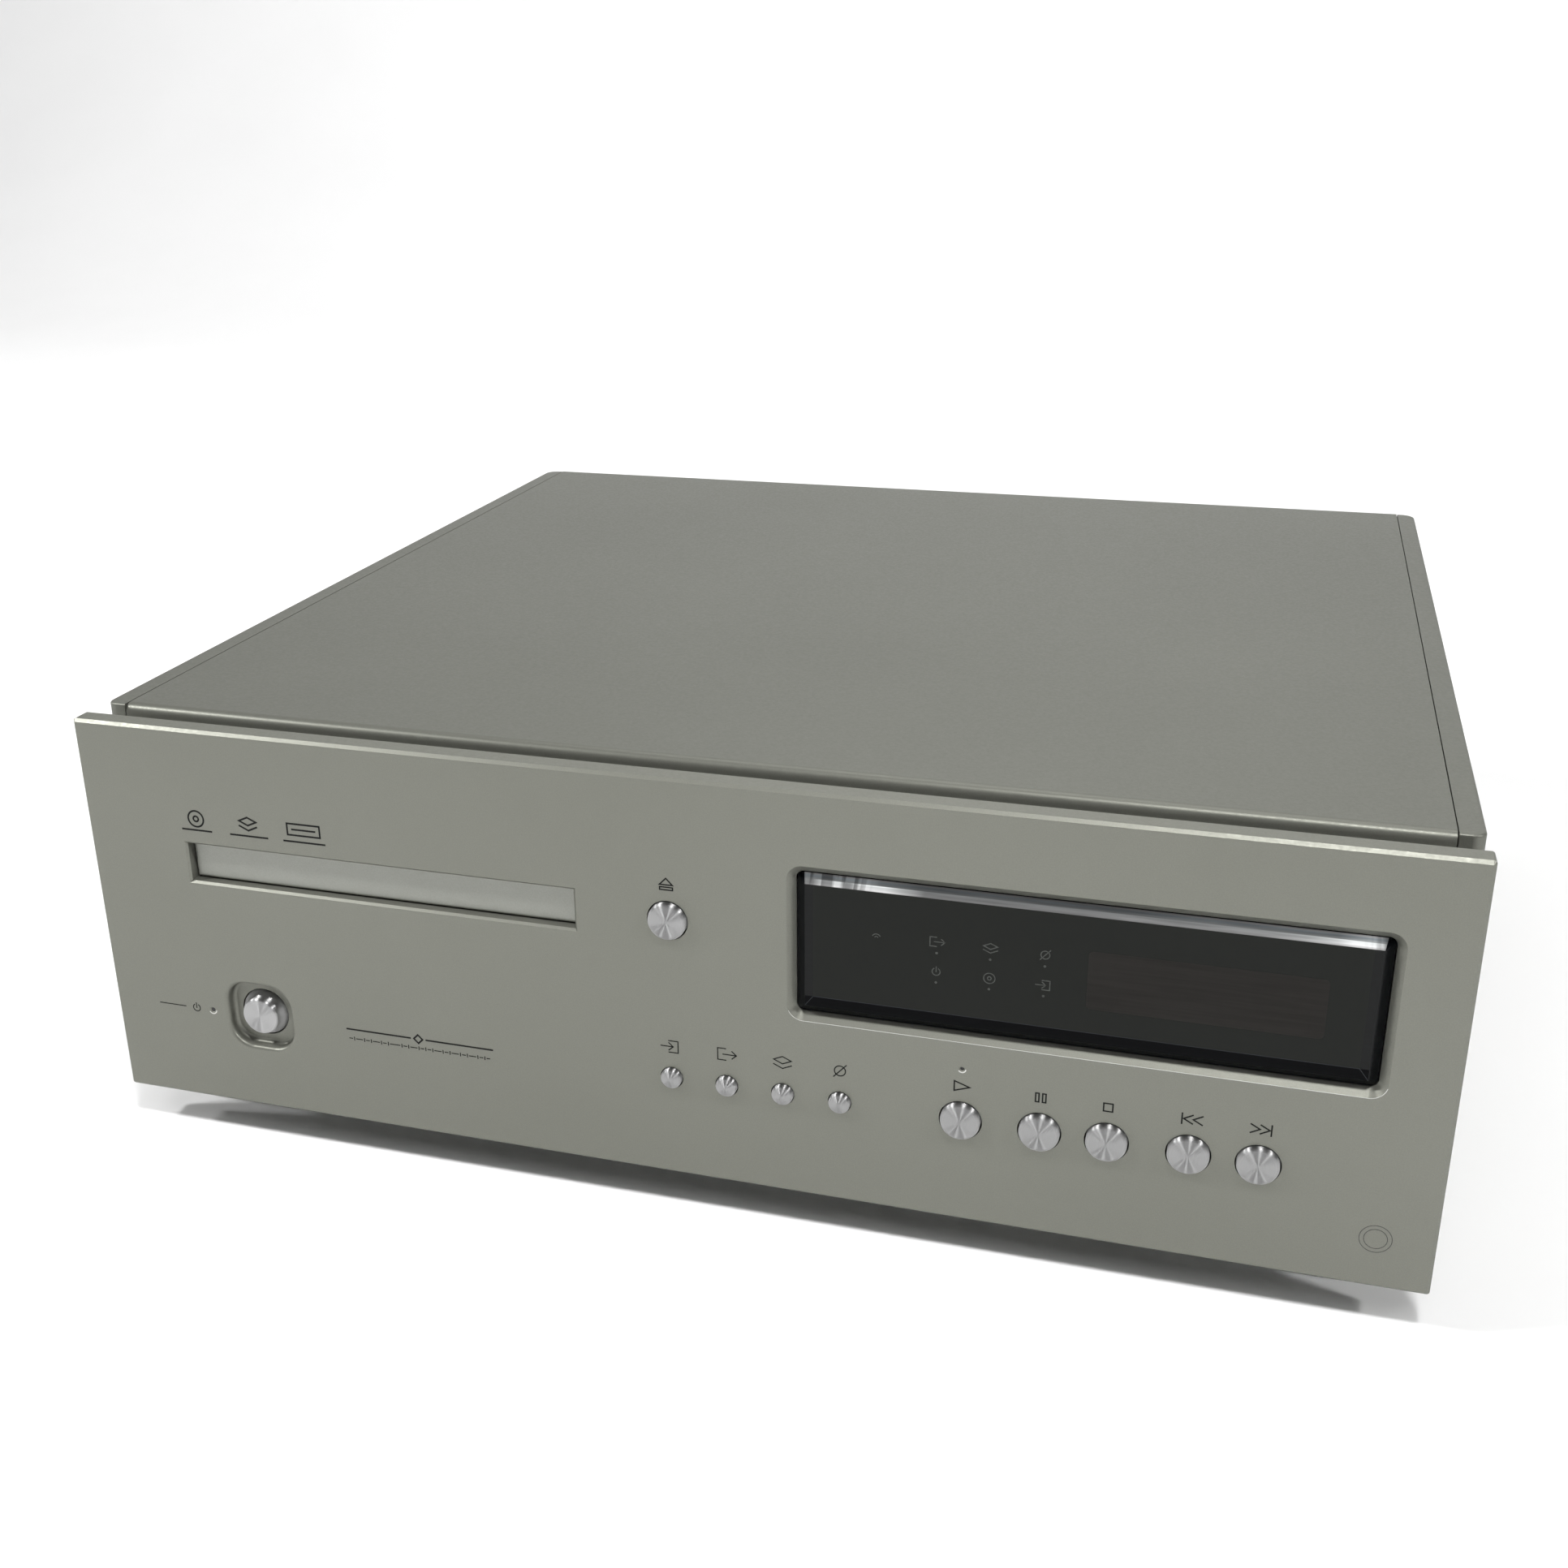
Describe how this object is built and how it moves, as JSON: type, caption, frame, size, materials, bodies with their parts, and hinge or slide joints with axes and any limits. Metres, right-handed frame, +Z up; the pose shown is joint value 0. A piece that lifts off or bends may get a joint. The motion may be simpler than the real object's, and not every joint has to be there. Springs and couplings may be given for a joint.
{
  "type": "cd player",
  "caption": "Full-width disc player: motorised disc tray, bevelled display window, turned push buttons and thick metal case with rear sockets.",
  "frame": {"origin": "middle of the rectangle that the player covers, on the surface it stands on", "axes": "+Z up, the front plate faces -Y, +X to the right as seen from the front"},
  "size_m": [0.44, 0.418, 0.154],
  "materials": {
    "satin_aluminium": "bead-blasted, satin anodised",
    "tray_aluminium": "fine satin",
    "turned_aluminium": "face-turned, concentric lines",
    "smoked_acrylic": "polished smoked acrylic with mirror bevel",
    "black_plastic": "moulded matt black",
    "display_glass": "dark display",
    "green_board": "solder resist",
    "plated_steel": "zinc plated",
    "rear_paint": "fine-textured black paint",
    "cast_iron": "painted casting",
    "clear_plastic": "frosted light pipe",
    "tray_plastic": "fine grain",
    "white_plastic": "acetal",
    "belt_rubber": "matt",
    "lens_plastic": "moulded",
    "winding_wrap": "wrapped and potted",
    "can_sleeve": "heat-shrunk sleeve",
    "gold": "gold plated"
  },
  "bodies": {
    "case": {"front_panel": "satin_aluminium", "sub_front": "plated_steel", "panel_spacers": "plated_steel", "left_side_panel": "satin_aluminium", "right_side_panel": "satin_aluminium", "top_plate": "satin_aluminium", "rear_panel": "rear_paint", "base_plate": "plated_steel", "foot_front_left": "cast_iron", "foot_front_right": "cast_iron", "foot_rear_left": "cast_iron", "foot_rear_right": "cast_iron", "foot_screws": "plated_steel", "case_screws": "plated_steel", "display_window": "smoked_acrylic", "display_holder": "black_plastic", "display_module": "display_glass", "display_board": "green_board", "button_board": "green_board", "eject_board": "green_board", "tact_switches": "black_plastic", "light_pipes": "clear_plastic", "loader_base": "black_plastic", "clamp_bridge": "black_plastic", "loading_belt": "belt_rubber", "loading_motor": "plated_steel", "transformer": "winding_wrap", "transformer_clamp": "plated_steel", "power_board": "green_board", "filter_capacitors": "can_sleeve", "digital_board": "green_board", "dac_board": "green_board", "line_jacks": "gold", "balanced_sockets": "black_plastic", "digital_sockets": "black_plastic", "ac_inlet": "black_plastic"},
    "tray": {"tray": "tray_plastic", "tray_fascia": "tray_aluminium"},
    "loading_gear": {"loading_gear": "white_plastic"},
    "motor_pulley": {"motor_pulley": "white_plastic"},
    "disc_clamp": {"disc_clamp": "black_plastic"},
    "traverse": {"traverse_base": "plated_steel", "spindle_motor": "plated_steel", "guide_rods": "plated_steel", "sled_motor": "plated_steel"},
    "turntable": {"turntable": "white_plastic"},
    "sled": {"pickup_sled": "white_plastic"},
    "lens": {"lens_holder": "lens_plastic"},
    "lead_screw": {"lead_screw": "plated_steel"},
    "eject_button": {"eject_button": "turned_aluminium"},
    "play_button": {"play_button": "turned_aluminium"},
    "pause_button": {"pause_button": "turned_aluminium"},
    "stop_button": {"stop_button": "turned_aluminium"},
    "previous_button": {"previous_button": "turned_aluminium"},
    "next_button": {"next_button": "turned_aluminium"},
    "input_button": {"input_button": "turned_aluminium"},
    "output_button": {"output_button": "turned_aluminium"},
    "layer_button": {"layer_button": "turned_aluminium"},
    "phase_button": {"phase_button": "turned_aluminium"},
    "power_button": {"power_button": "turned_aluminium"}
  },
  "joints": [
    {"name": "tray_slide", "type": "slide", "parent": "case", "child": "tray", "axis": [0, -1, 0], "range_m": [0, 0.138]},
    {"name": "loading_gear_spin", "type": "hinge", "parent": "case", "child": "loading_gear", "pos_m": [-0.18975, -0.1699, 0.1], "axis": [0, 0, 1], "range_deg": [-890, 10]},
    {"name": "motor_pulley_spin", "type": "hinge", "parent": "case", "child": "motor_pulley", "pos_m": [-0.19875, -0.1309, 0.09], "axis": [0, 0, 1], "range_deg": [-3400, 40]},
    {"name": "clamp_spin", "type": "hinge", "parent": "case", "child": "disc_clamp", "pos_m": [-0.11325, -0.1299, 0.113], "axis": [0, 0, 1], "continuous": true},
    {"name": "traverse_lift", "type": "slide", "parent": "case", "child": "traverse", "axis": [0, 0, 1], "range_m": [0, 0.0078]},
    {"name": "turntable_spin", "type": "hinge", "parent": "traverse", "child": "turntable", "pos_m": [-0.11325, -0.1299, 0.1], "axis": [0, 0, 1], "continuous": true},
    {"name": "sled_slide", "type": "slide", "parent": "traverse", "child": "sled", "axis": [0, 1, 0], "range_m": [0, 0.034]},
    {"name": "lead_screw_spin", "type": "hinge", "parent": "traverse", "child": "lead_screw", "pos_m": [-0.07125, -0.1299, 0.0865], "axis": [0, 1, 0], "range_deg": [-10, 4100]},
    {"name": "lens_focus", "type": "slide", "parent": "sled", "child": "lens", "axis": [0, 0, 1], "range_m": [-0.0006, 0.0006], "stiffness_N_per_m": 150},
    {"name": "eject_press", "type": "slide", "parent": "case", "child": "eject_button", "axis": [0, 1, 0], "range_m": [0, 0.001], "stiffness_N_per_m": 500},
    {"name": "play_press", "type": "slide", "parent": "case", "child": "play_button", "axis": [0, 1, 0], "range_m": [0, 0.001], "stiffness_N_per_m": 500},
    {"name": "pause_press", "type": "slide", "parent": "case", "child": "pause_button", "axis": [0, 1, 0], "range_m": [0, 0.001], "stiffness_N_per_m": 500},
    {"name": "stop_press", "type": "slide", "parent": "case", "child": "stop_button", "axis": [0, 1, 0], "range_m": [0, 0.001], "stiffness_N_per_m": 500},
    {"name": "previous_press", "type": "slide", "parent": "case", "child": "previous_button", "axis": [0, 1, 0], "range_m": [0, 0.001], "stiffness_N_per_m": 500},
    {"name": "next_press", "type": "slide", "parent": "case", "child": "next_button", "axis": [0, 1, 0], "range_m": [0, 0.001], "stiffness_N_per_m": 500},
    {"name": "input_press", "type": "slide", "parent": "case", "child": "input_button", "axis": [0, 1, 0], "range_m": [0, 0.0008], "stiffness_N_per_m": 500},
    {"name": "output_press", "type": "slide", "parent": "case", "child": "output_button", "axis": [0, 1, 0], "range_m": [0, 0.0008], "stiffness_N_per_m": 500},
    {"name": "layer_press", "type": "slide", "parent": "case", "child": "layer_button", "axis": [0, 1, 0], "range_m": [0, 0.0008], "stiffness_N_per_m": 500},
    {"name": "phase_press", "type": "slide", "parent": "case", "child": "phase_button", "axis": [0, 1, 0], "range_m": [0, 0.0008], "stiffness_N_per_m": 500},
    {"name": "power_press", "type": "slide", "parent": "case", "child": "power_button", "axis": [0, 1, 0], "range_m": [0, 0.0015], "stiffness_N_per_m": 700}
  ],
  "couplings": [
    {"joint": "loading_gear_spin", "follows": "tray_slide", "rad_per_m": -111.11},
    {"joint": "motor_pulley_spin", "follows": "tray_slide", "rad_per_m": -419.75},
    {"joint": "lead_screw_spin", "follows": "sled_slide", "rad_per_m": 2094.4}
  ]
}
